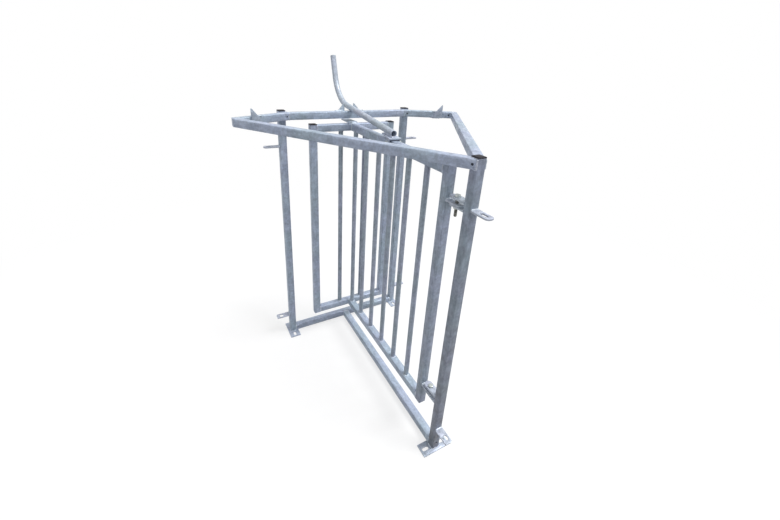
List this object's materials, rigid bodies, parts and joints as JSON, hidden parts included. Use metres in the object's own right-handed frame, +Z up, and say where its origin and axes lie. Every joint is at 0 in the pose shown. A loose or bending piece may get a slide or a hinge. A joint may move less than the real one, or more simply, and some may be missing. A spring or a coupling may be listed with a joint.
{
  "type": "sheep sorting gate",
  "caption": "Galvanised steel tube frame on three posts with a T-shaped swing gate and a lift handle that locks over ramped catches on a five-sided top ring.",
  "frame": {"origin": "on the ground, at the middle of the underside of the hinge post's foot plate", "axes": "+Z up; +Y from the hinge post towards the two far posts, along the gate at rest; +X to the right seen along +Y"},
  "size_m": [1.016, 1.1285, 1.364],
  "materials": {
    "galvanised_tube": "hot-dip galvanised, dull mottled grey",
    "galvanised_plate": "hot-dip galvanised plate, dull mottled grey",
    "galvanised_bar": "hot-dip galvanised round bar, dull grey",
    "galvanised_pipe": "galvanised pipe, slightly brighter grey",
    "plated_bolt": "zinc-plated bolt, faintly yellow",
    "black_plastic": "black moulded plastic"
  },
  "bodies": {
    "frame": {"hinge_post": "galvanised_tube", "left_post": "galvanised_tube", "right_post": "galvanised_tube", "hinge_post_cap": "black_plastic", "left_post_cap": "black_plastic", "right_post_cap": "black_plastic", "hinge_post_foot": "galvanised_plate", "left_post_foot": "galvanised_plate", "right_post_foot": "galvanised_plate", "base_crossbar": "galvanised_tube", "base_stem": "galvanised_tube", "ring_middle": "galvanised_tube", "ring_left_arc": "galvanised_tube", "ring_right_arc": "galvanised_tube", "ring_left_side": "galvanised_tube", "ring_right_side": "galvanised_tube", "centre_left_catch": "galvanised_plate", "centre_right_catch": "galvanised_plate", "end_left_catch": "galvanised_plate", "end_right_catch": "galvanised_plate", "hinge_post_upper_lug": "galvanised_plate", "left_post_upper_lug": "galvanised_plate", "right_post_upper_lug": "galvanised_plate", "hinge_post_lower_lug": "galvanised_plate", "left_post_lower_lug": "galvanised_plate", "right_post_lower_lug": "galvanised_plate", "upper_hinge_top_fork": "galvanised_plate", "upper_hinge_bottom_fork": "galvanised_plate", "upper_hinge_bolt": "plated_bolt", "upper_hinge_nut": "plated_bolt", "lower_hinge_top_fork": "galvanised_plate", "lower_hinge_bottom_fork": "galvanised_plate", "lower_hinge_bolt": "plated_bolt", "lower_hinge_nut": "plated_bolt"},
    "gate": {"hinge_stile": "galvanised_tube", "hinge_stile_cap": "galvanised_plate", "left_stile": "galvanised_tube", "left_stile_cap": "black_plastic", "right_stile": "galvanised_tube", "right_stile_cap": "black_plastic", "top_rail": "galvanised_tube", "bottom_rail": "galvanised_tube", "top_crossbar": "galvanised_tube", "bottom_crossbar": "galvanised_tube", "stem_bar_1": "galvanised_bar", "stem_bar_2": "galvanised_bar", "stem_bar_3": "galvanised_bar", "stem_bar_4": "galvanised_bar", "stem_bar_5": "galvanised_bar", "stem_bar_6": "galvanised_bar", "left_wing_bar": "galvanised_bar", "right_wing_bar": "galvanised_bar", "guide_tongue": "galvanised_plate", "upper_hinge_gate_plate": "galvanised_plate", "lower_hinge_gate_plate": "galvanised_plate", "pivot_bolt": "plated_bolt", "pivot_nut": "plated_bolt"},
    "handle": {"handle_saddle": "galvanised_plate", "handle_pipe": "galvanised_pipe"}
  },
  "joints": [
    {"name": "gate_swing", "type": "hinge", "parent": "frame", "child": "gate", "pos_m": [0, 0.06, 0.6], "axis": [0, 0, 1], "range_deg": [-34, 34]},
    {"name": "handle_lift", "type": "hinge", "parent": "gate", "child": "handle", "pos_m": [0, 0.446, 1.081], "axis": [1, 0, 0], "range_deg": [0, 6.5]}
  ]
}
